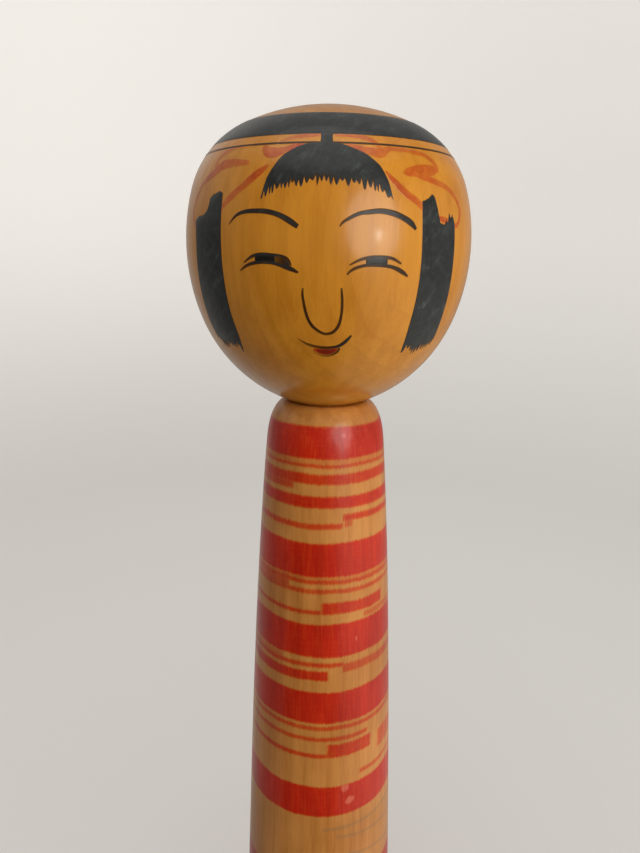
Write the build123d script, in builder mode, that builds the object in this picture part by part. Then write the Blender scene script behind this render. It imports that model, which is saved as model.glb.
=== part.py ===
from build123d import *

import os

# Kokeshi doll: a turned wooden body, and a turned head that snaps into it and can be twisted round.
# Millimetres, +Z up. The doll stands on z = 0 with its turning axis on Z and its face towards -Y.
# Both pieces are solids of revolution, as they come off the lathe.

os.makedirs("parts", exist_ok=True)

# Whole doll
doll_height = 240.0
seat_height = 177.0  # plane where the head's flat underside rests on the body's rim

# Head: four tangent arcs from the crown down, each with its radius and the degrees it turns
crown_radius, crown_turn = 43.6, 25.7
temple_radius, temple_turn = 20.1, 49.2
cheek_radius, cheek_turn = 42.7, 36.2
jaw_radius, jaw_turn = 32.9, 50.0

# Neck: a tenon with a slight bulb, which is forced hot through the narrower mouth of the socket
neck_radius = 7.5
neck_length = 12.0
neck_root = 5.0  # how far the tenon's solid runs up into the head, to be one piece with it
bulb_radius = 7.9
bulb_depth = 8.5  # widest point of the bulb, below the seat
tip_radius = 6.9
tip_length = 0.5  # straight end below the bulb
running_gap = 0.08
socket_floor_gap = 1.0

# Body: outer radius at each height, from the foot to where the shoulder starts to round over
flank_points = [(21.3, 0.8), (18.6, 80.0), (16.95, 120.0), (15.25, 150.0), (14.15, 165.0)]
shoulder_points = [(13.45, 171.0), (12.4, 174.2), (10.95, 176.3)]
rim_radius = 9.7
foot_chamfer = 0.8

# Underside: dished so that only a ring touches, with the four pits of the lathe's driving claws
rest_ring_width = 5.0
dish_depth = 0.8
claw_count = 4
claw_circle_radius = 8.0
claw_length = 6.0
claw_width = 1.4
claw_pit_depth = 2.0
centre_pit_radius = 1.2


def draw_neck(gap, floor_height):
    """Half of the neck's section, closed along the axis: its outline is larger all round by the gap."""
    bulb = Spline(
        (tip_radius + gap, seat_height - neck_length + tip_length),
        (bulb_radius + gap, seat_height - bulb_depth),
        (neck_radius + gap, seat_height),
        tangents=[(1, 1), (0, 1)],
    )
    Polyline(
        bulb @ 1,
        (neck_radius + gap, seat_height + neck_root),
        (0, seat_height + neck_root),
        (0, floor_height),
        (tip_radius + gap, floor_height),
        bulb @ 0,
    )


with BuildPart() as head:
    with BuildSketch(Plane.XZ):
        with BuildLine():
            crown = JernArc((0, doll_height), (1, 0), crown_radius, -crown_turn)
            temple = JernArc(crown @ 1, crown % 1, temple_radius, -temple_turn)
            cheek = JernArc(temple @ 1, temple % 1, cheek_radius, -cheek_turn)
            jaw = JernArc(cheek @ 1, cheek % 1, jaw_radius, -jaw_turn)
            Polyline(jaw @ 1, (0, (jaw @ 1).Y), (0, doll_height))
        make_face()
    revolve(axis=Axis.Z)
    # The underside is cut flat where it turns against the body.
    split(bisect_by=Plane.XY.offset(seat_height), keep=Keep.TOP)

    # Neck
    with BuildSketch(Plane.XZ):
        with BuildLine():
            draw_neck(0, seat_height - neck_length)
        make_face()
    revolve(axis=Axis.Z)


with BuildPart() as body:
    with BuildSketch(Plane.XZ):
        with BuildLine():
            flank = Spline(*flank_points)
            shoulder = Spline(
                flank @ 1,
                *shoulder_points,
                (rim_radius, seat_height),
                tangents=[flank % 1, (-1, 0.25)],
            )
            Polyline(
                shoulder @ 1,
                (0, seat_height),
                (0, 0),
                (flank_points[0][0] - foot_chamfer, 0),
                flank @ 0,
            )
        make_face()
    revolve(axis=Axis.Z)

    # Socket for the neck, bored out from above the body's rim
    with BuildSketch(Plane.XZ):
        with BuildLine():
            draw_neck(running_gap, seat_height - neck_length - socket_floor_gap)
        make_face()
    revolve(axis=Axis.Z, mode=Mode.SUBTRACT)

    # Dished underside
    with BuildSketch(Plane.XZ):
        with BuildLine():
            ring_inner_radius = flank_points[0][0] - foot_chamfer - rest_ring_width
            RadiusArc((0, dish_depth), (ring_inner_radius, 0), ring_inner_radius**2 / (2 * dish_depth))
            Polyline((ring_inner_radius, 0), (0, 0), (0, dish_depth))
        make_face()
    revolve(axis=Axis.Z, mode=Mode.SUBTRACT)

    # Pits left by the claws and the centre of the lathe's drive
    with BuildSketch(Plane.XY):
        with PolarLocations(claw_circle_radius, claw_count):
            Rectangle(claw_length, claw_width)
        Circle(centre_pit_radius)
    extrude(amount=claw_pit_depth, mode=Mode.SUBTRACT)


head.part.label = "head"
body.part.label = "body"
export_step(head.part, "parts/head.step")
export_step(body.part, "parts/body.step")
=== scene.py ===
"""Looks of a kokeshi doll: waxed wood, brushed ink, turned bands of red dye, and the studio round it.

Places on the doll are in millimetres and degrees, and become metres where a mesh is made. An angle
runs round the turning axis from the middle of the face, positive towards +X. On the head, a drop is
the distance down over the surface from the middle of the crown; on the body, a height is above the base.
The studio's walls, card and lamps are in metres.
"""
import math
import random

import bpy
import numpy as np
from mathutils import Matrix, Vector


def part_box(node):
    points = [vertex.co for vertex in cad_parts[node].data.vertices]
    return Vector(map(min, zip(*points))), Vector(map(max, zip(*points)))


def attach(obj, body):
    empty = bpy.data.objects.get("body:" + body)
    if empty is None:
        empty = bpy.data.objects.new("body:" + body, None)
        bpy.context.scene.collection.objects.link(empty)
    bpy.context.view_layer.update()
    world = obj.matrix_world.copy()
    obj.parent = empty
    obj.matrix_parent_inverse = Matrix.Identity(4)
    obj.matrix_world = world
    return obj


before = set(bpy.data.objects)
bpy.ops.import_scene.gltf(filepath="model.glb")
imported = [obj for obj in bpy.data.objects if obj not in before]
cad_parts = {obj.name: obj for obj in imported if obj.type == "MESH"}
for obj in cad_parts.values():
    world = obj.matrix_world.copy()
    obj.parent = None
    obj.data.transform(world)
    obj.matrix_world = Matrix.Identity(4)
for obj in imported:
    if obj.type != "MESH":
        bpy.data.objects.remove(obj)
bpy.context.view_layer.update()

MM = 0.001
FULL_TURN = 360.0
TINY = 1e-9

# The head's outline, as it is turned: four tangent arcs from the crown down, radius and degrees turned
HEAD_ARCS = [(43.6, 25.7), (20.1, 49.2), (42.7, 36.2), (32.9, 50.0)]
HEAD_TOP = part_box("head")[1].z / MM

# Paint lies on the wood as thin skins, whose edges go down to almost nothing and fade over a soft rim.
# Their undersides are sunk in the wood.
RED_LIFT = 0.03
BLACK_LIFT = 0.05
EDGE_LIFT = 0.012
SINK = 0.05
RED_RIM = 0.24
BLACK_RIM = 0.17
THINNEST = 0.05
SHARP_EDGE = 40.0

# Load of black that covers the wood wholly; strokes carry less and stay brown
FULL = 1.5


# ---------------------------------------------------------------- surface of the head

def outline(drop):
    """Radius, height and slope angle of the head's outline at this drop from the crown."""
    radius, height, slope = 0.0, HEAD_TOP, 0.0
    for arc_radius, degrees in HEAD_ARCS:
        turn = min(drop / arc_radius, math.radians(degrees))
        radius += arc_radius * (math.sin(slope + turn) - math.sin(slope))
        height += arc_radius * (math.cos(slope + turn) - math.cos(slope))
        slope += turn
        drop -= arc_radius * turn
        if drop <= TINY:
            break
    return radius, height, slope


def on_head(angle, drop, lift):
    """The point in metres that stands this far off the head's surface."""
    radius, height, slope = outline(drop)
    radius += lift * math.sin(slope)
    height += lift * math.cos(slope)
    turn = math.radians(angle)
    return Vector((radius * math.sin(turn), -radius * math.cos(turn), height)) * MM


def mm_per_degree(drop):
    """How long a degree is round the head at this drop."""
    return outline(drop)[0] * math.pi / 180


# ---------------------------------------------------------------- curves

def smooth_curve(knots, values):
    """A function that runs smoothly through the values, rows of numbers, at increasing knots.

    At each knot its slope is that of the parabola through the point and its two neighbours.
    """
    knots = np.array(knots, float)
    values = np.array(values, float)
    gaps = np.diff(knots)[:, None]
    chords = np.diff(values, axis=0) / gaps
    slopes = np.vstack([
        chords[:1],
        (chords[:-1] * gaps[1:] + chords[1:] * gaps[:-1]) / (gaps[:-1] + gaps[1:]),
        chords[-1:],
    ])

    def at(t):
        k = int(np.clip(np.searchsorted(knots, t) - 1, 0, len(gaps) - 1))
        gap = gaps[k, 0]
        s = np.clip((t - knots[k]) / gap, 0.0, 1.0)
        start = (1 + 2 * s) * values[k] + s * gap * slopes[k]
        end = (3 - 2 * s) * values[k + 1] - (1 - s) * gap * slopes[k + 1]
        return (1 - s) ** 2 * start + s ** 2 * end

    return at


def smooth(points):
    """A smooth function of x through (x, y) points."""
    x, y = zip(*points)
    curve = smooth_curve(x, [[value] for value in y])
    return lambda value: float(curve(value)[0])


def straight(points):
    """A function of x that goes straight from one (x, y) point to the next."""
    x, y = zip(*points)
    return lambda value: float(np.interp(value, x, y))


def brush_teeth(length, seed, pitch, depth):
    """The points that the hairs of a brush leave along an edge: (distance, reach) in mm."""
    rng = random.Random(seed)
    points = [(0.0, 0.0)]
    while points[-1][0] < length:
        start = points[-1][0]
        width = pitch * rng.uniform(0.6, 1.5)
        reach = depth * rng.uniform(0.35, 1.0)
        shoulder = 0.8 * reach
        notch = depth * rng.uniform(-0.2, 0.2)
        points += [(start + 0.3 * width, shoulder), (start + 0.5 * width, reach)]
        points += [(start + 0.7 * width, shoulder), (start + width, notch)]
    return points


# ---------------------------------------------------------------- films of paint

def new_object(name, verts, faces, smooth=True):
    """A mesh object in the scene, from points in metres."""
    mesh = bpy.data.meshes.new(name)
    mesh.from_pydata(verts, [], faces)
    for polygon in mesh.polygons:
        polygon.use_smooth = smooth
    piece = bpy.data.objects.new(name, mesh)
    bpy.context.scene.collection.objects.link(piece)
    return piece


def film(name, grid, material, lift, round_head=False):
    """A closed skin of paint on the head from a grid of (angle, drop, load) points.

    The load is how much paint there is; it fades the colour towards bare wood. With round_head, the
    last column joins the first.
    """
    rows, columns = len(grid), len(grid[0])
    verts, loads, faces = [], [], []
    for level in ("outer", "inner"):
        for i, row in enumerate(grid):
            for j, (angle, drop, load) in enumerate(row):
                border = i in (0, rows - 1) or (not round_head and j in (0, columns - 1))
                height = -SINK if level == "inner" else EDGE_LIFT if border else lift
                verts.append(on_head(angle, drop, height))
                loads.append(load)

    def index(level, i, j):
        return level * rows * columns + i * columns + j % columns

    spans = columns if round_head else columns - 1
    for i in range(rows - 1):
        for j in range(spans):
            quad = [(i, j), (i + 1, j), (i + 1, j + 1), (i, j + 1)]
            faces.append([index(0, *corner) for corner in quad])
            faces.append([index(1, *corner) for corner in reversed(quad)])
    rim = [(0, j) for j in range(columns)]
    far_rim = [(rows - 1, j) for j in range(columns)]
    if round_head:
        loops = [rim + rim[:1], (far_rim + far_rim[:1])[::-1]]
    else:
        right = [(i, columns - 1) for i in range(1, rows)]
        left = [(i, 0) for i in range(rows - 2, -1, -1)]
        loops = [rim + right + far_rim[-2::-1] + left]
    for loop in loops:
        for a, b in zip(loop, loop[1:]):
            faces.append([index(0, *a), index(0, *b), index(1, *b), index(1, *a)])

    piece = new_object(name, verts, faces)
    mesh = piece.data
    mesh.validate()
    mesh.attributes.new("load", "FLOAT", "POINT").data.foreach_set("value", loads)
    mesh.materials.append(material)
    mesh.set_sharp_from_angle(angle=math.radians(SHARP_EDGE))
    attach(piece, "head")


def black_film(name, grid, black):
    film(name, grid, black, BLACK_LIFT)


def red_stroke(name, points, red):
    film(name, stroke(points, RED_RIM), red, RED_LIFT)


def brush_path(points, load=1.0):
    """Close (angle, drop, width, load) samples along a stroke, whose points may leave out the load."""
    step = 0.3
    points = [p if len(p) == 4 else (*p, load) for p in points]
    distances = [0.0]
    for a, b in zip(points, points[1:]):
        run = (b[0] - a[0]) * mm_per_degree((a[1] + b[1]) / 2)
        distances.append(distances[-1] + math.hypot(run, b[1] - a[1]))
    path = smooth_curve(distances, points)
    count = math.ceil(distances[-1] / step)
    return [path(distances[-1] * k / count) for k in range(count + 1)]


def stroke(points, rim=BLACK_RIM, load=1.0):
    """Grid of a brush stroke through (angle, drop, width in mm) or (angle, drop, width, load) points."""
    samples = brush_path(points, load)
    # Places across the stroke, from one edge at -1 to the other at 1, closer together near the edges
    across = (-1.0, -0.8, -0.55, -0.25, 0.0, 0.25, 0.55, 0.8, 1.0)
    grid = [[] for _ in across]
    for k, (angle, drop, width, paint) in enumerate(samples):
        a = samples[max(0, k - 1)]
        b = samples[min(len(samples) - 1, k + 1)]
        scale = mm_per_degree(drop)
        run, fall = (b[0] - a[0]) * scale, b[1] - a[1]
        length = math.hypot(run, fall) or 1.0
        half = (max(width, THINNEST) + rim) / 2
        for row, v in zip(grid, across):
            fade = min(1.0, (1 - abs(v)) * half / rim)
            row.append((
                angle - v * half * fall / length / scale,
                drop + v * half * run / length,
                paint * fade,
            ))
    return grid


def patch(columns, place, top, bottom, load, rows=22):
    """Grid of a painted area.

    b runs from 0 to 1 across it and t from 0 to 1 down it. place(b, drop) gives an angle, top(b) and
    bottom(b) give drops, and load(b, t) gives the load.
    """
    widest_rim = 0.4
    grid = [[] for _ in range(rows + 1)]
    for j in range(columns + 1):
        b = j / columns
        low, high = top(b), bottom(b)
        # The outermost rows are the edges, the next are a rim's width in, and the rest lie evenly between
        rim = min(widest_rim, BLACK_RIM / max(high - low, THINNEST))
        stations = [0.0] + [rim + (1 - 2 * rim) * k / (rows - 2) for k in range(rows - 1)] + [1.0]
        for i, t in enumerate(stations):
            drop = low + (high - low) * t
            edge = i in (0, rows) or j in (0, columns)
            grid[i].append((place(b, drop), drop, 0.0 if edge else load(b, t)))
    return grid


def dry_ends(count, seed, start):
    """Load of a patch whose bristles run dry, each by another amount, below t = start."""
    rng = random.Random(seed)
    dryness = [rng.uniform(0.0, 1.0) ** 2 for _ in range(count + 1)]

    def load(b, t):
        dry = dryness[round(b * count)]
        return FULL * (1 - dry * max(0.0, t - start) / (1 - start))

    return load


# ---------------------------------------------------------------- shader nodes

class Nodes:
    """Adds nodes to one tree. A value may be a number, a tuple or another node's output."""

    def __init__(self, tree):
        self.tree = tree
        self.mm = self.vector("SCALE", self.add("ShaderNodeTexCoord").outputs["Object"], scale=1 / MM)
        self.x, self.y, self.z = self.add("ShaderNodeSeparateXYZ", {"Vector": self.mm}).outputs

    def add(self, kind, inputs=None, **settings):
        node = self.tree.nodes.new(kind)
        for key, value in settings.items():
            setattr(node, key, value)
        for key, value in (inputs or {}).items():
            if isinstance(value, bpy.types.NodeSocket):
                self.tree.links.new(value, node.inputs[key])
            else:
                node.inputs[key].default_value = value
        return node

    def math(self, operation, *values, clamp=False):
        inputs = dict(enumerate(values))
        return self.add("ShaderNodeMath", inputs, operation=operation, use_clamp=clamp).outputs[0]

    def vector(self, operation, first, second=None, scale=None):
        inputs = {0: first}
        if second is not None:
            inputs[1] = second
        if scale is not None:
            inputs["Scale"] = scale
        node = self.add("ShaderNodeVectorMath", inputs, operation=operation)
        return node.outputs["Value" if operation in ("LENGTH", "DOT_PRODUCT") else "Vector"]

    def along_grain(self, squash):
        """The place with its height squashed, so that noise there is drawn out up the grain."""
        return self.vector("MULTIPLY", self.mm, (1.0, 1.0, squash))

    def turned(self, point, degrees):
        """The point turned about the Y axis."""
        inputs = {"Vector": point, "Angle": math.radians(degrees)}
        return self.add("ShaderNodeVectorRotate", inputs, rotation_type="Y_AXIS").outputs[0]

    def noise(self, point, scale, detail=2.0, roughness=0.5):
        inputs = {"Vector": point, "Scale": scale, "Detail": detail, "Roughness": roughness}
        return self.add("ShaderNodeTexNoise", inputs).outputs["Fac"]

    def remap(self, value, low, high, to_low=0.0, to_high=1.0):
        """The value brought from one range into another, eased at both ends and never past them."""
        inputs = {"Value": value, "From Min": low, "From Max": high, "To Min": to_low, "To Max": to_high}
        return self.add("ShaderNodeMapRange", inputs, interpolation_type="SMOOTHSTEP").outputs["Result"]

    def sway(self, base, noise, amount, spread=0.2):
        """The base, lowered by the amount where the noise is low and raised by it where it is high."""
        swing = self.remap(noise, 0.5 - spread, 0.5 + spread, -1.0, 1.0)
        return self.math("MULTIPLY_ADD", swing, amount, base)

    def mix(self, factor, a, b, blend="MIX"):
        node = self.add("ShaderNodeMix", data_type="RGBA", blend_type=blend)
        # Sockets 0, 6 and 7 are the factor and the two colours, and output 2 is the colour that results.
        for socket, value in zip((node.inputs[0], node.inputs[6], node.inputs[7]), (factor, a, b)):
            if isinstance(value, bpy.types.NodeSocket):
                self.tree.links.new(value, socket)
            else:
                socket.default_value = value if isinstance(value, float) else (*value, 1.0)
        return node.outputs[2]

    def stained(self, colour, amount, passes):
        """The colour seen through a dye that lets these shares of red, green and blue pass."""
        shares = [self.math("POWER", share, amount) for share in passes]
        filter_colour = self.add("ShaderNodeCombineXYZ", dict(enumerate(shares))).outputs[0]
        return self.mix(1.0, colour, filter_colour, blend="MULTIPLY")


def wood(n, light, dark, pith):
    """Colour and fine relief of vertical grain, cut from a log whose pith passes through (x, y)."""
    along = n.along_grain(0.03)
    fibre = n.noise(along, 2.2, detail=4.0, roughness=0.65)
    streak = n.noise(along, 0.42, detail=2.0)
    blotch = n.noise(n.mm, 0.05, detail=2.0)

    # Growth rings: each grows slowly darker outwards, up to its late wood
    from_pith = n.vector("LENGTH", n.vector("SUBTRACT", n.along_grain(0.012), (*pith, 0.0)))
    ring = n.math("FRACT", n.math("MULTIPLY_ADD", from_pith, RINGS_PER_MM, n.math("MULTIPLY", blotch, 1.6)))
    late_wood = n.math("POWER", ring, 3.0)

    darkness = n.sway(0.42, streak, 0.18)
    darkness = n.sway(darkness, fibre, 0.11)
    darkness = n.sway(darkness, blotch, 0.2)
    darkness = n.math("MULTIPLY_ADD", late_wood, 0.165, darkness, clamp=True)
    return n.mix(darkness, light, dark), fibre


def finish(n, colour, fibre, roughness, gloss=0.28, wax=0.5):
    """Ends a material with waxed wood's shader: a satin surface under a thin, smoother coat of wax.

    gloss is how much the surface itself reflects, and wax the weight of the coat.
    """
    bump = n.add("ShaderNodeBump", {"Height": fibre, "Strength": 0.05, "Distance": 0.05 * MM})
    shader = n.add("ShaderNodeBsdfPrincipled", {
        "Base Color": colour,
        "Roughness": n.remap(fibre, 0.2, 0.8, roughness - 0.03, roughness + 0.05),
        "IOR": WOOD_IOR,
        "Specular IOR Level": gloss,
        "Coat Weight": wax,
        "Coat Roughness": WAX_ROUGHNESS,
        "Coat IOR": WAX_IOR,
        "Normal": bump.outputs["Normal"],
    })
    n.add("ShaderNodeOutputMaterial", {"Surface": shader.outputs["BSDF"]})


def new_material(name):
    """An empty material, and what adds nodes to it."""
    material = bpy.data.materials.new(name)
    material.use_nodes = True
    material.node_tree.nodes.clear()
    return material, Nodes(material.node_tree)


# Colours are linear. PASSES are the shares of red, green and blue that a full coat lets through.
HEAD_LIGHT = (0.64, 0.262, 0.022)
HEAD_DARK = (0.45, 0.155, 0.007)
BODY_LIGHT = (0.62, 0.262, 0.060)
BODY_DARK = (0.38, 0.128, 0.020)
RED_PASSES = (0.92, 0.07, 0.02)
BRUSHED_RED_PASSES = (0.66, 0.15, 0.13)
RED_THICK = (0.11, 0.008, 0.004)
INK_PASSES = (0.075, 0.07, 0.08)
INK_COLOUR = (0.019, 0.0205, 0.0195)
INK_THICK = (0.008, 0.008, 0.007)
# Grey of wear on broad areas of ink, also used for the painted sheen along its lighter streaks
INK_WORN_AND_SHEEN = (0.085, 0.095, 0.092)
CHIP_COLOUR = (0.95, 0.34, 0.22)
GREY_LINE_COLOUR = (0.17, 0.12, 0.065)

# Wood and wax. A pith is (x, y) in mm.
HEAD_PITH = (-52.0, 38.0)
BODY_PITH = (44.0, 61.0)
RINGS_PER_MM = 0.36
WOOD_IOR = 1.5
WAX_IOR = 1.5
WAX_ROUGHNESS = 0.14


def bare_head():
    """The head's bare wood."""
    material, n = new_material("head_wood")
    colour, fibre = wood(n, HEAD_LIGHT, HEAD_DARK, HEAD_PITH)
    finish(n, colour, fibre, 0.3)
    return material


def paint_load(n, raggedness):
    """How much paint there is here, broken up a little by the wood's fibres."""
    load = n.add("ShaderNodeAttribute", attribute_name="load").outputs["Fac"]
    hairs = n.noise(n.along_grain(0.12), 4.0, detail=2.0)
    broken = n.math("MULTIPLY_ADD", n.math("SUBTRACT", hairs, 0.5), raggedness, load)
    return n.math("MULTIPLY", load, n.remap(broken, 0.0, 0.3)), hairs


def ink(name):
    """Black ink: stains the wood brown where it is thin, and covers it where it is thick.

    Broad areas are clouded and specked to a soft grey-black by wear, with lighter diagonal streaks that are
    partly scuffing and partly painted sheen; a load above FULL stays deep black.
    """
    material, n = new_material(name)
    colour, fibre = wood(n, HEAD_LIGHT, HEAD_DARK, HEAD_PITH)
    load, hairs = paint_load(n, 0.5)
    colour = n.stained(colour, load, INK_PASSES)
    cover = n.remap(load, 0.8, 1.35, 0.0, 0.96)

    # Lighter diagonal streaks, partly scuffing and partly a painted sheen on the ink
    streak_place = n.vector("MULTIPLY", n.turned(n.mm, -35.0), (1.0, 0.35, 0.35))
    scuffs_and_sheen = n.remap(n.noise(streak_place, 0.6, detail=5.0, roughness=0.7), 0.5, 0.75)
    clouded = n.remap(n.noise(n.mm, 0.5, detail=5.0, roughness=0.75), 0.35, 0.75)
    speck = n.remap(n.noise(n.mm, 0.55, detail=3.0, roughness=0.55), 0.66, 0.76)
    worn_and_sheen = n.math("MULTIPLY_ADD", clouded, 0.24, n.math("MULTIPLY", scuffs_and_sheen, 0.42))
    worn_and_sheen = n.math("MULTIPLY_ADD", speck, 0.5, worn_and_sheen, clamp=True)
    # The ink greys with wear and, along the streaks, with painted sheen
    black = n.mix(worn_and_sheen, INK_COLOUR, INK_WORN_AND_SHEEN)
    black = n.mix(n.remap(load, FULL + 0.1, FULL + 0.5), black, INK_THICK)
    finish(n, n.mix(cover, colour, black), hairs, 0.36, gloss=0.2, wax=0.3)
    return material


def dye(name):
    """Red dye, which soaks in and lets the grain show."""
    material, n = new_material(name)
    colour, fibre = wood(n, HEAD_LIGHT, HEAD_DARK, HEAD_PITH)
    load, _ = paint_load(n, 0.3)
    pooled = n.remap(n.noise(n.mm, 0.9, detail=2.0), 0.3, 0.7, 0.75, 1.2)
    colour = n.stained(colour, n.math("MULTIPLY", load, pooled), BRUSHED_RED_PASSES)
    thick = n.remap(load, 0.8, 1.4, 0.0, 0.7)
    finish(n, n.mix(thick, colour, RED_THICK), fibre, 0.3)
    return material


# ---------------------------------------------------------------- bands on the body

# Top and bottom heights in mm, and the strength of the dye
WHOLE_BANDS = [
    (173.2, 166.3, 1.0),
    (166.2, 165.2, 0.12),
    (165.1, 164.35, 0.55),
    (162.85, 160.65, 0.72),
    (157.7, 155.1, 0.9),
    (146.7, 138.7, 1.0),
    (138.6, 137.9, 0.15),
    (137.9, 136.9, 0.55),
    (135.55, 134.6, 0.5),
    (126.8, 118.6, 1.0),
    (109.2, 101.0, 1.0),
    (100.1, 99.05, 0.5),
    (83.0, 74.6, 1.0),
    (53.5, 45.2, 0.95),
    (43.6, 42.6, 0.5),
    (33.5, 25.4, 0.95),
    (24.2, 23.2, 0.5),
    (21.4, 20.6, 0.4),
]

# The same with the angles where the band starts and ends. The lathe is reversed between them,
# so that a line stops in a step and goes on a little higher or lower.
PART_BANDS = [
    (160.7, 159.1, 0.55, -165, -26),
    (151.35, 150.2, 0.6, -175, 19),
    (152.3, 150.6, 0.35, 19, 28),
    (153.45, 152.05, 0.7, 18, 190),
    (138.3, 134.7, 0.4, -150, -27),
    (132.2, 129.5, 0.78, 0, 61),
    (130.4, 129.55, 0.62, -170, 1),
    (128.7, 127.5, 0.3, 37, 150),
    (118.1, 115.6, 0.22, -160, -30),
    (117.0, 116.0, 0.6, -170, 20),
    (116.5, 114.4, 0.42, 18, 165),
    (114.8, 112.45, 0.85, -175, 8),
    (97.05, 96.05, 0.5, -190, 42),
    (95.0, 91.5, 0.7, 6, 46),
    (92.5, 91.4, 0.6, -180, 8),
    (94.3, 89.2, 0.38, 53, 170),
    (86.1, 85.1, 0.45, 33, 185),
    (40.6, 38.1, 0.8, -165, 14),
    (39.0, 38.1, 0.6, 12, 200),
]

# Thin grey lines low on the body: top and bottom at angle 0, how many mm each climbs in a degree, and
# the angles where it starts and ends
GREY_LINES = [
    (71.1, 70.1, 0.0, 3, 150),
    (69.4, 68.6, -0.055, 14, 120),
    (64.7, 63.9, -0.09, 24, 110),
]

# Pale chips in the dye: angle, height, half width in degrees and half height in mm
CHIPS = [
    (22.0, 82.6, 3.0, 1.5),
    (25.5, 78.2, 3.4, 1.0),
    (49.0, 91.5, 3.4, 3.0),
    (30.5, 122.5, 1.0, 0.7),
]

# Half the width in mm over which a band's edge fades, and the degrees over which its end does
EDGE_FADE = 0.4
END_FADE = 2.2

# How far the dye wanders: mm along the grain, mm in slow waves round the body, and degrees at an end
GRAIN_BLEED = 0.2
SLOW_WAVER = 0.12
END_BLEED = 1.2


def band_mask(n, height, angle, top, bottom, start=None, end=None):
    """1 inside a band and 0 outside, with soft edges."""
    mask = n.math(
        "MULTIPLY",
        n.remap(height, bottom - EDGE_FADE, bottom + EDGE_FADE),
        n.remap(height, top - EDGE_FADE, top + EDGE_FADE, 1.0, 0.0),
    )
    if start is not None:
        turned = n.math("FLOORED_MODULO", n.math("SUBTRACT", angle, start), FULL_TURN)
        ends = n.math(
            "MULTIPLY",
            n.remap(turned, 0.0, END_FADE),
            n.remap(turned, end - start - END_FADE, end - start, 1.0, 0.0),
        )
        mask = n.math("MULTIPLY", mask, ends)
    return mask


def dye_amount(n, height, angle):
    """How much red dye there is here: that of the strongest band."""
    amount = 0.0
    for top, bottom, strength, *ends in WHOLE_BANDS + PART_BANDS:
        mask = band_mask(n, height, angle, top, bottom, *ends)
        amount = n.math("MAXIMUM", n.math("MULTIPLY", mask, strength), amount)
    return amount


def chip_mask(n, height, angle):
    """1 on the chips in the dye and 0 elsewhere, with ragged outlines."""
    ragged = n.remap(n.noise(n.mm, 0.9), 0.3, 0.7, -0.5, 0.5)
    chipped = 0.0
    for chip_angle, chip_height, half_width, half_height in CHIPS:
        across = n.math("DIVIDE", n.math("SUBTRACT", angle, chip_angle), half_width)
        up = n.math("DIVIDE", n.math("SUBTRACT", height, chip_height), half_height)
        reach = n.math("MULTIPLY_ADD", up, up, n.math("MULTIPLY_ADD", across, across, ragged))
        chipped = n.math("MAXIMUM", n.remap(reach, 0.3, 1.5, 1.0, 0.0), chipped)
    return chipped


def with_grey_lines(n, colour, height, angle):
    """The colour with the thin grey lines over it."""
    for top, bottom, climb, start, end in GREY_LINES:
        level = n.math("MULTIPLY_ADD", angle, -climb, height)
        mask = band_mask(n, level, angle, top, bottom, start, end)
        colour = n.mix(n.math("MULTIPLY", mask, 0.35), colour, GREY_LINE_COLOUR)
    return colour


def banded_body():
    """The body's wood, under its bands of dye."""
    material, n = new_material("body_wood")
    colour, fibre = wood(n, BODY_LIGHT, BODY_DARK, BODY_PITH)

    bleed = n.noise(n.along_grain(0.06), 5.0, detail=3.0, roughness=0.6)
    waver = n.noise(n.mm, 0.12, detail=1.0)
    height = n.sway(n.z, bleed, GRAIN_BLEED)
    height = n.sway(height, waver, SLOW_WAVER, spread=0.25)
    true_angle = n.math("DEGREES", n.math("ARCTAN2", n.x, n.math("MULTIPLY", n.y, -1.0)))
    angle = n.sway(true_angle, bleed, END_BLEED, spread=0.25)

    chipped = chip_mask(n, height, true_angle)
    amount = dye_amount(n, height, angle)
    amount = n.math("MULTIPLY", amount, n.math("MULTIPLY_ADD", chipped, -0.2, 1.0))
    brushed = n.noise(n.vector("MULTIPLY", n.mm, (0.5, 0.5, 4.0)), 0.8, detail=3.0)
    uneven = n.sway(0.95, fibre, 0.2, spread=0.25)
    uneven = n.sway(uneven, brushed, 0.1)

    colour = with_grey_lines(n, colour, height, true_angle)
    colour = n.stained(colour, n.math("MULTIPLY", amount, uneven), RED_PASSES)
    pale = n.math("MULTIPLY", n.math("MULTIPLY", chipped, amount), 0.3)
    colour = n.mix(pale, colour, CHIP_COLOUR)
    finish(n, colour, fibre, 0.36, gloss=0.32, wax=0.35)
    return material


# ---------------------------------------------------------------- paint on the head

def black_ring(name, inner, outer, load, black):
    """A band of black right round the crown, between two drops."""
    columns, row_spacing = 240, 0.9
    first, last = inner + BLACK_RIM, outer - BLACK_RIM
    count = max(1, math.ceil((last - first) / row_spacing))
    rows = [inner] + [first + (last - first) * k / count for k in range(count + 1)] + [outer]
    grid = [
        [(FULL_TURN * j / columns, drop, 0.0 if drop in (inner, outer) else load) for j in range(columns)]
        for drop in rows
    ]
    film(name, grid, black, BLACK_LIFT, round_head=True)


def crown(black):
    """The ring of hair and the thin line below it, with the parting from one to the other."""
    black_ring("hair_crown_ring", 19.5, 27.5, FULL, black)
    black_ring("hair_thin_line", 29.2, 29.8, 0.95, black)
    parting = stroke([(0.4, 27.0, 2.2), (0.45, 28.4, 2.05), (0.5, 29.9, 2.3)], load=FULL)
    black_film("hair_parting", parting, black)


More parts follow.
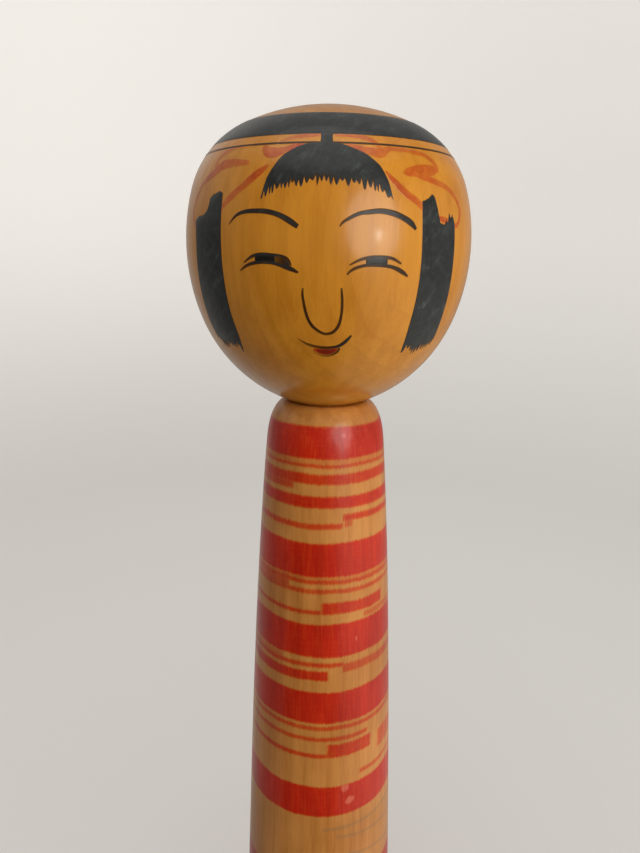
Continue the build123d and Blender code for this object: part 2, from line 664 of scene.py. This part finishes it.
def fringe(black):
    """The fringe: a dome of hair over the forehead, whose lower edge ends in points."""
    dome = [
        (-22.4, 40.2), (-21.2, 37.4), (-18.0, 33.7), (-12.0, 30.7), (-5.0, 29.5), (2.5, 29.3), (10.0, 30.4),
        (17.0, 32.4), (21.3, 35.1), (23.3, 38.0), (24.1, 40.2),
    ]
    hairline = [
        (-22.4, 39.2), (-18.0, 37.7), (-10.0, 36.7), (0.0, 36.2), (12.0, 36.7), (20.0, 37.8), (24.1, 39.4),
    ]
    left, right = dome[0][0], dome[-1][0]
    columns, teeth_drop = 340, 38.0
    width = (right - left) * mm_per_degree(teeth_drop)
    upper, lower = smooth(dome), smooth(hairline)
    teeth = straight(brush_teeth(width, seed=3, pitch=0.78, depth=1.7))

    def angle(b, drop):
        return left + (right - left) * b

    def top(b):
        return upper(angle(b, 0))

    def bottom(b):
        return max(lower(angle(b, 0)) + teeth(b * width), top(b) + THINNEST)

    grid = patch(columns, angle, top, bottom, dry_ends(columns, seed=4, start=0.8))
    black_film("hair_fringe", grid, black)


def side_lock(name, inner, outer, top, bottom, seed, black):
    """A lock of hair in front of an ear, painted downwards with a flat brush.

    inner and outer give the angle of each edge at a drop; top and bottom give the drop of each
    end at b, from 0 at the inner edge to 1 at the outer.
    """
    columns, foot_drop = 130, 68.0
    width = abs(outer[-1][1] - inner[-1][1]) * mm_per_degree(foot_drop)
    near, far = smooth(inner), smooth(outer)
    first, last = straight(top), smooth(bottom)
    first_teeth = straight(brush_teeth(width, seed, pitch=0.5, depth=-0.3))
    last_teeth = straight(brush_teeth(width, seed + 1, pitch=0.72, depth=1.9))

    def angle(b, drop):
        return near(drop) + (far(drop) - near(drop)) * b

    def start(b):
        return first(b) + first_teeth(b * width)

    def end(b):
        return last(b) + last_teeth(b * width)

    grid = patch(columns, angle, start, end, dry_ends(columns, seed + 2, start=0.95), rows=34)
    if outer[0][1] < inner[0][1]:
        grid = [row[::-1] for row in grid]
    black_film(name, grid, black)


def side_locks(black):
    """The locks in front of both ears."""
    side_lock(
        "hair_lock_right",
        inner=[(38, -39.4), (50, -38.8), (62, -38.5), (66, -38.1), (70, -39.2)],
        outer=[
            (38, -56.9), (43, -56.6), (48, -56.0), (54, -56.8), (60, -57.7), (64.5, -58.0), (67, -57.2),
            (70, -55.2),
        ],
        top=[
            (0.0, 38.9), (0.12, 38.4), (0.33, 39.0), (0.43, 39.7), (0.45, 40.9), (0.51, 41.8), (0.62, 42.6),
            (0.9, 43.0), (1.0, 43.4),
        ],
        bottom=[(0.0, 69.4), (0.1, 68.2), (0.3, 67.9), (0.6, 68.1), (0.85, 67.5), (1.0, 66.0)],
        seed=11,
        black=black,
    )
    side_lock(
        "hair_lock_left",
        inner=[(38, 36.2), (42, 35.7), (56, 35.8), (64, 35.7), (70, 36.4)],
        outer=[(38, 53.2), (44, 53.7), (50, 54.0), (58, 55.0), (64, 56.0), (68, 57.0), (70, 57.3)],
        top=[
            (0.0, 40.0), (0.13, 39.6), (0.3, 38.5), (0.38, 39.3), (0.43, 40.9), (0.47, 42.6), (0.5, 43.7),
            (0.62, 44.0), (0.7, 43.0), (0.75, 43.6), (0.8, 41.7), (0.86, 42.7), (0.93, 42.1), (1.0, 43.4),
        ],
        bottom=[(0.0, 69.3), (0.12, 67.8), (0.3, 68.3), (0.55, 68.1), (0.8, 67.3), (1.0, 66.4)],
        seed=21,
        black=black,
    )


def lid_line(points):
    """The drop of a lid at each angle."""
    return straight([(angle, drop) for angle, drop, *_ in brush_path(points)])


def between_lids(name, upper_line, lower_line, ends, loads, black):
    """Paint that fills an eye from one angle to another, with the load at each end."""
    left, right = ends
    left_load, right_load = loads
    columns, rows = 30, 6

    def angle(b, drop):
        return left + (right - left) * b

    def top(b):
        return upper_line(angle(b, 0))

    def bottom(b):
        return lower_line(angle(b, 0))

    def load(b, t):
        return left_load + (right_load - left_load) * b

    black_film(name, patch(columns, angle, top, bottom, load, rows), black)


def eye(name, upper, lower, fills, black):
    """Two lids as strokes, with paint between them: for each fill, the angles and the loads at its ends."""
    black_film(name + "_upper_lid", stroke(upper), black)
    black_film(name + "_lower_lid", stroke(lower), black)
    for part, (ends, loads) in fills.items():
        between_lids(name + part, lid_line(upper), lid_line(lower), ends, loads, black)


def face(black, red):
    """Brows, eyes, nose and mouth."""
    def draw(name, points, load=1.15):
        black_film(name, stroke(points, load=load), black)

    draw("brow_right", [
        (-35.1, 44.5, 0.1, 0.9), (-31.8, 42.9, 0.47), (-23.4, 42.15, 0.8), (-15.0, 42.9, 0.88),
        (-10.7, 44.1, 1.0), (-8.5, 44.9, 0.8),
    ])
    draw("brow_left", [
        (5.3, 44.8, 0.17, 0.7), (6.3, 44.1, 0.39, 0.8), (8.0, 43.5, 0.51, 0.95), (12.6, 42.4, 0.62),
        (15.3, 42.2, 0.78), (18.4, 42.0, 0.85), (27.1, 42.9, 1.04), (31.4, 44.2, 0.99),
        (32.8, 45.0, 0.5),
    ])
    eye(
        "eye_right",
        upper=[
            (-28.5, 51.3, 0.25, 0.7), (-24.9, 50.1, 0.5, 1.1), (-18.3, 49.8, 0.56, 1.2),
            (-11.2, 51.0, 0.42, 0.9), (-10.8, 51.7, 0.3, 0.85),
        ],
        lower=[
            (-30.4, 52.8, 0.18, 0.8), (-28.1, 52.0, 0.45, 0.95), (-17.5, 51.2, 0.57, 1.2),
            (-10.5, 52.3, 0.76, 1.1), (-8.3, 52.85, 0.35, 0.9),
        ],
        fills={"_pupil": ((-24.0, -16.3), (2.1, 1.9)), "_corner": ((-16.4, -11.2), (0.5, 1.2))},
        black=black,
    )
    eye(
        "eye_left",
        upper=[
            (8.9, 51.4, 0.25, 0.65), (12.1, 50.5, 0.45, 0.85), (19.6, 49.9, 0.5, 1.1),
            (24.1, 50.2, 0.5, 0.95), (27.4, 51.1, 0.3, 0.8),
        ],
        lower=[
            (8.1, 53.1, 0.25, 0.65), (9.4, 52.4, 0.46, 0.75), (13.5, 51.5, 0.52, 0.95),
            (19.3, 51.4, 0.52, 1.1), (24.1, 51.7, 0.65, 1.0), (28.8, 52.8, 0.68, 1.0),
            (30.5, 53.4, 0.3, 0.9),
        ],
        fills={"_pupil": ((14.4, 22.2), (1.7, 1.8))},
        black=black,
    )
    draw("nose", [
        (-6.8, 55.6, 0.3, 0.6), (-7.0, 56.7, 0.42), (-6.8, 57.8, 0.46), (-2.8, 63.4, 0.56),
        (1.3, 64.5, 0.56, 0.75), (3.4, 64.3, 0.56), (6.2, 62.5, 0.54), (6.7, 61.2, 0.5),
        (6.9, 57.7, 0.44), (6.7, 56.6, 0.4), (6.5, 55.5, 0.3, 0.6),
    ], load=0.92)
    draw("mouth", [
        (-9.9, 65.6, 0.2, 0.3), (-6.2, 66.8, 0.58, 0.5), (3.7, 67.5, 0.6, 0.95), (6.4, 67.2, 0.62, 1.1),
        (10.0, 65.7, 0.62, 1.15), (11.3, 64.8, 0.3, 1.1),
    ])
    red_stroke("lip", [
        (-3.9, 68.0, 0.5, 0.6), (-2.0, 68.4, 1.1, 1.1), (4.6, 68.4, 1.4, 1.2), (6.4, 67.9, 0.7, 1.0),
    ], red)
    draw("lip_shadow", [
        (-3.8, 68.4, 0.2, 0.25), (-2.0, 69.1, 0.35, 0.3), (2.8, 69.5, 0.45, 0.5), (6.3, 68.4, 0.5, 0.8),
        (7.0, 67.6, 0.4, 0.8),
    ])


def right_ribbon(red):
    """Loops of red ribbon to the doll's right of the fringe."""
    red_stroke("ribbon_right_top", [
        (-1.7, 27.7, 0.7, 0.3), (-5.0, 27.8, 0.9, 0.4), (-15.0, 28.5, 0.8, 0.3), (-20.0, 29.8, 0.5, 0.2),
    ], red)
    red_stroke("ribbon_right_loop", [
        (-8.0, 29.8, 0.4, 0.7), (-10.5, 30.1, 0.9, 0.75), (-16.0, 31.2, 1.6, 0.5),
        (-21.8, 31.3, 2.1, 0.5), (-23.4, 30.6, 1.5, 0.45), (-24.0, 29.8, 1.0, 0.4),
    ], red)
    red_stroke("ribbon_right_curl", [
        (-30.0, 29.5, 0.6, 0.15), (-40.8, 29.9, 1.0, 0.32), (-47.0, 31.3, 1.2, 0.33),
        (-48.0, 32.4, 1.2, 0.33), (-47.4, 33.6, 1.2, 0.33),
    ], red)
    red_stroke("ribbon_right_tail", [
        (-29.3, 33.3, 0.9, 0.3), (-40.0, 33.15, 1.9, 0.45), (-43.9, 33.5, 2.1, 0.48),
        (-46.2, 34.3, 1.9, 0.48), (-54.7, 36.6, 1.0, 0.4), (-58.9, 39.6, 0.9, 0.38),
        (-60.0, 41.4, 0.85, 0.38), (-56.8, 44.4, 0.8, 0.38), (-53.0, 44.2, 0.8, 0.38),
        (-49.0, 43.4, 0.6, 0.3),
    ], red)
    red_stroke("ribbon_right_cord", [
        (-20.6, 33.9, 0.5, 0.35), (-22.1, 34.5, 1.0, 0.5), (-31.2, 38.1, 1.3, 0.45),
        (-36.7, 40.2, 1.25, 0.4), (-38.3, 41.0, 0.9, 0.35), (-40.0, 41.6, 0.8, 0.3),
    ], red)


def left_ribbon(red):
    """Loops of red ribbon to the doll's left of the fringe."""
    red_stroke("ribbon_left_top", [
        (3.8, 27.7, 0.6, 0.35), (13.2, 27.95, 0.95, 0.5), (16.7, 28.3, 1.15, 0.45),
        (20.6, 29.7, 0.95, 0.35), (21.8, 30.5, 0.9, 0.35),
    ], red)
    red_stroke("ribbon_left_loop", [
        (8.0, 29.9, 0.4, 0.4), (10.5, 30.2, 0.9, 0.5), (16.5, 31.1, 1.6, 0.42), (21.6, 31.2, 2.0, 0.4),
        (23.2, 30.7, 1.4, 0.38), (30.6, 30.35, 0.95, 0.34), (35.2, 30.5, 1.0, 0.36),
        (43.8, 31.5, 1.1, 0.38), (46.0, 32.5, 1.2, 0.38), (46.4, 33.5, 1.2, 0.38),
        (45.0, 34.2, 1.1, 0.35),
    ], red)
    red_stroke("ribbon_left_bow", [
        (28.9, 35.0, 0.5, 0.35), (30.2, 34.9, 1.2, 0.45), (34.7, 34.5, 2.1, 0.46),
        (43.0, 33.95, 2.1, 0.4), (46.0, 33.6, 1.2, 0.35),
    ], red)
    red_stroke("ribbon_left_tail", [
        (33.9, 35.2, 0.7, 0.3), (38.3, 35.6, 1.15, 0.42), (46.3, 36.45, 1.2, 0.4),
        (50.9, 37.1, 1.1, 0.38), (54.5, 38.2, 1.05, 0.38), (58.5, 41.0, 0.95, 0.4),
        (55.1, 43.9, 0.95, 0.5), (51.5, 43.8, 1.0, 0.55), (48.0, 43.2, 1.2, 0.6), (43.0, 42.7, 0.7, 0.5),
    ], red)
    red_stroke("ribbon_left_cord", [
        (21.8, 34.9, 0.4, 0.4), (24.0, 36.2, 0.95, 0.55), (30.8, 39.2, 1.35, 0.52),
        (33.1, 39.9, 1.35, 0.45), (36.6, 41.3, 1.1, 0.4),
    ], red)


# ---------------------------------------------------------------- studio

PAPER_ROUGHNESS = 0.9
GLOW_COLOUR = (1.0, 0.96, 0.90, 1.0)

# Glow of the backdrop, of the room behind the doll, and of the room high up at the left
WALL_GLOW = 0.6
ROOM_GLOW = 0.20
HIGH_GLOW = 0.25

# The lamps face the lower part of the head. The world's light comes in over the walls.
LAMP_COLOUR = (1.0, 0.985, 0.95)
LAMP_AIM = (0.0, 0.0, 0.19)
WORLD_STRENGTH = 0.4


def surface_of_revolution(name, profile, segments):
    """Mesh of (radius, height) points in metres turned round Z. The first point is on the axis."""
    verts = [(0.0, 0.0, profile[0][1])]
    for radius, height in profile[1:]:
        for k in range(segments):
            turn = 2 * math.pi * k / segments
            verts.append((radius * math.cos(turn), radius * math.sin(turn), height))
    faces = [[0, 1 + k, 1 + (k + 1) % segments] for k in range(segments)]
    for i in range(len(profile) - 2):
        for k in range(segments):
            a, b = 1 + i * segments, 1 + (i + 1) * segments
            following = (k + 1) % segments
            faces.append([a + k, b + k, b + following, a + following])
    return new_object(name, verts, faces)


def round_wall(name, outset):
    """A floor that curves up into a round wall, open at the top, moved outwards by the outset."""
    floor_radius, cove_radius, wall_height = 0.45, 0.3, 1.1
    cove_steps, segments = 24, 128
    profile = [(0.0, -outset), (floor_radius / 2, -outset), (floor_radius, -outset)]
    for k in range(1, cove_steps + 1):
        turn = math.pi / 2 * k / cove_steps
        radius = floor_radius + (cove_radius + outset) * math.sin(turn)
        profile.append((radius, cove_radius - (cove_radius + outset) * math.cos(turn)))
    profile.append((floor_radius + cove_radius + outset, wall_height))
    wall = surface_of_revolution(name, profile, segments)
    return wall


def paper(name, colour, glow):
    """Matt paper that glows a little. colour(n) and glow(n) give both at each place."""
    material, n = new_material(name)
    shader = n.add("ShaderNodeBsdfPrincipled", {
        "Base Color": colour(n),
        "Roughness": PAPER_ROUGHNESS,
        "Emission Color": GLOW_COLOUR,
        "Emission Strength": glow(n),
    })
    n.add("ShaderNodeOutputMaterial", {"Surface": shader.outputs["BSDF"]})
    return material


def backdrop():
    """The pale floor and wall that only the camera sees. Its colour is a little darker at the left, painted
    shade, and its glow is painted light, strongest at the top left."""
    # The darker grey at the left is painted shade
    shaded_left_grey, right_grey = (0.52, 0.50, 0.475), (0.68, 0.66, 0.645)

    def colour(n):
        return n.mix(n.remap(n.x, -300.0, 300.0), shaded_left_grey, right_grey)

    def glow(n):
        # Painted light: the glow grows upwards and towards the left
        painted_window_light = n.remap(n.x, -350.0, 300.0, 1.0, 0.66)
        return n.math("MULTIPLY", n.math("MULTIPLY", n.remap(n.z, -260.0, 330.0), painted_window_light), WALL_GLOW)

    wall = round_wall("backdrop", 0.0)
    wall.data.materials.append(paper("pale_paper", colour, glow))
    for rays in ("diffuse", "glossy", "shadow", "transmission"):
        setattr(wall, "visible_" + rays, False)
    return wall


def room():
    """The floor and wall that light the doll and are mirrored in its wax, which the camera doesn't see.

    They are darker than the backdrop, most of all at the front left and above the floor at the right
    behind, and glow faintly behind the doll and high up at the left.
    """
    floor_grey, wall_grey = (0.56, 0.54, 0.51), (0.40, 0.39, 0.38)
    right_behind_grey, front_left_grey = (0.26, 0.255, 0.25), (0.20, 0.195, 0.19)

    def towards(n, azimuth):
        """Cosine of the angle between this place and the azimuth, seen from above."""
        across = n.vector("NORMALIZE", n.vector("MULTIPLY", n.mm, (1.0, 1.0, 0.0)))
        turn = math.radians(azimuth)
        return n.vector("DOT_PRODUCT", across, (math.sin(turn), -math.cos(turn), 0.0))

    def colour(n):
        right_behind = n.math("MULTIPLY", n.remap(towards(n, 145), 0.3, 0.9), n.remap(n.z, -60.0, 50.0))
        front_left = n.remap(towards(n, -38), -0.35, 0.75)
        grey = n.mix(n.remap(n.z, 0.0, 220.0), floor_grey, wall_grey)
        return n.mix(front_left, n.mix(right_behind, grey, right_behind_grey), front_left_grey)

    def glow(n):
        behind = n.math("MULTIPLY", n.remap(towards(n, 180), 0.45, 0.9), n.remap(n.z, -160.0, 330.0))
        high_left = n.math("MULTIPLY", n.remap(towards(n, -115), 0.5, 0.95), n.remap(n.z, 250.0, 480.0))
        return n.math("MULTIPLY_ADD", high_left, HIGH_GLOW, n.math("MULTIPLY", behind, ROOM_GLOW))

    wall = round_wall("room", 0.002)
    wall.data.materials.append(paper("dim_paper", colour, glow))
    wall.visible_camera = False


def flag():
    """A black card that lies and stands round the camera's side of the doll. Only polished surfaces see
    it, as they would see whoever holds the camera."""
    near, far, height, floor_gap = 0.03, 0.38, 0.165, 0.0005
    first, last, steps = -56, 27, 24
    verts, faces = [], []
    for k in range(steps + 1):
        turn = math.radians(first + (last - first) * k / steps)
        x, y = math.sin(turn), -math.cos(turn)
        for radius, z in ((near, floor_gap), (far, floor_gap), (far, height)):
            verts.append((x * radius, y * radius, z))
    for k in range(steps):
        a, b = 3 * k, 3 * k + 3
        faces += [[a, b, b + 1, a + 1], [a + 1, b + 1, b + 2, a + 2]]
    card = new_object("flag", verts, faces, smooth=False)
    material, n = new_material("black_card")
    card_black = (0.01, 0.01, 0.01, 1.0)
    shader = n.add("ShaderNodeBsdfPrincipled", {"Base Color": card_black, "Roughness": PAPER_ROUGHNESS})
    n.add("ShaderNodeOutputMaterial", {"Surface": shader.outputs["BSDF"]})
    card.data.materials.append(material)
    for rays in ("camera", "diffuse", "shadow", "transmission"):
        setattr(card, "visible_" + rays, False)


def lit_set(name, wall, state):
    """A set for light linking: with INCLUDE a lamp lights only the wall, with EXCLUDE all but the wall."""
    group = bpy.data.collections.new(name)
    group.objects.link(wall)
    group.collection_objects[0].light_linking.link_state = state
    return group


def area_light(name, azimuth, elevation, distance, size, radiance, lights=None, mirrored=True):
    """A soft round lamp that faces the head. Azimuth 0 is in front of the doll and 90 on its +X side.

    lights is the set that it lights, and mirrored says whether it shows in polished surfaces.
    """
    turn, rise = math.radians(azimuth), math.radians(elevation)
    aim = Vector((math.sin(turn) * math.cos(rise), -math.cos(turn) * math.cos(rise), math.sin(rise)))
    data = bpy.data.lights.new(name, "AREA")
    data.shape = "DISK"
    data.size = size
    # The power of a disk that shines with this radiance all over
    data.energy = radiance * math.pi * math.pi * size ** 2 / 4
    data.color = LAMP_COLOUR
    lamp = bpy.data.objects.new(name, data)
    lamp.location = Vector(LAMP_AIM) + aim * distance
    lamp.rotation_mode = "QUATERNION"
    lamp.rotation_quaternion = aim.to_track_quat("Z", "Y")
    lamp.visible_camera = False
    lamp.visible_glossy = mirrored
    lamp.light_linking.receiver_collection = lights
    bpy.context.scene.collection.objects.link(lamp)


def lighting(wall):
    """A window in front at the right, with unmirrored fills round the doll, a soft sky over everything
    and a lamp for the backdrop alone."""
    doll = lit_set("lit_doll", wall, "EXCLUDE")
    backdrop_only = lit_set("lit_backdrop", wall, "INCLUDE")
    # Name, azimuth, elevation, distance, diameter and radiance
    area_light("window", 35, 12, 0.6, 0.44, 3.2, doll)
    area_light("window_fill", 38, 14, 0.6, 0.50, 1.9, doll, mirrored=False)
    area_light("window_middle", 38.5, 8, 0.58, 0.045, 18.0, doll)
    area_light("right_fill", 95, 8, 0.6, 0.50, 1.8, doll, mirrored=False)
    area_light("left_fill", -95, 15, 0.6, 0.50, 1.0, doll, mirrored=False)
    area_light("back_fill", 180, 20, 0.6, 0.50, 1.0, doll, mirrored=False)
    area_light("sky", -15, 72, 0.7, 0.80, 0.8)
    area_light("backdrop_light", 20, 80, 1.0, 1.2, 1.5, backdrop_only, mirrored=False)
    world = bpy.data.worlds.new("studio")
    world.use_nodes = True
    background = world.node_tree.nodes["Background"]
    background.inputs["Color"].default_value = (1.0, 1.0, 1.0, 1.0)
    background.inputs["Strength"].default_value = WORLD_STRENGTH
    bpy.context.scene.world = world
    bpy.context.scene.view_settings.view_transform = "Standard"


def camera():
    """A phone's wide lens, close in front of the face and tilted down."""
    place = Vector((4.6, -153.4, 211.2)) * MM
    heading, pitch, roll = math.radians(2.2), math.radians(15.0), math.radians(0.81)
    data = bpy.data.cameras.new("camera")
    data.sensor_width = 36.0
    data.lens = 28.06
    data.clip_start = 0.01
    viewer = bpy.data.objects.new("camera", data)
    viewer.matrix_world = (
        Matrix.Translation(place)
        @ Matrix.Rotation(heading, 4, "Z")
        @ Matrix.Rotation(math.pi / 2 - pitch, 4, "X")
        @ Matrix.Rotation(roll, 4, "Z")
    )
    bpy.context.scene.collection.objects.link(viewer)
    bpy.context.scene.camera = viewer


# ---------------------------------------------------------------- putting it together

def set_material(node, material):
    """Gives a CAD node this material in place of its own."""
    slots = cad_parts[node].data.materials
    for k in range(len(slots)):
        slots[k] = material
    if not slots:
        slots.append(material)


camera()
pale_wall = backdrop()
room()
flag()
lighting(pale_wall)
set_material("head", bare_head())
set_material("body", banded_body())
black_ink = ink("black_ink")
red_dye = dye("red_dye")
right_ribbon(red_dye)
left_ribbon(red_dye)
crown(black_ink)
fringe(black_ink)
side_locks(black_ink)
face(black_ink, red_dye)
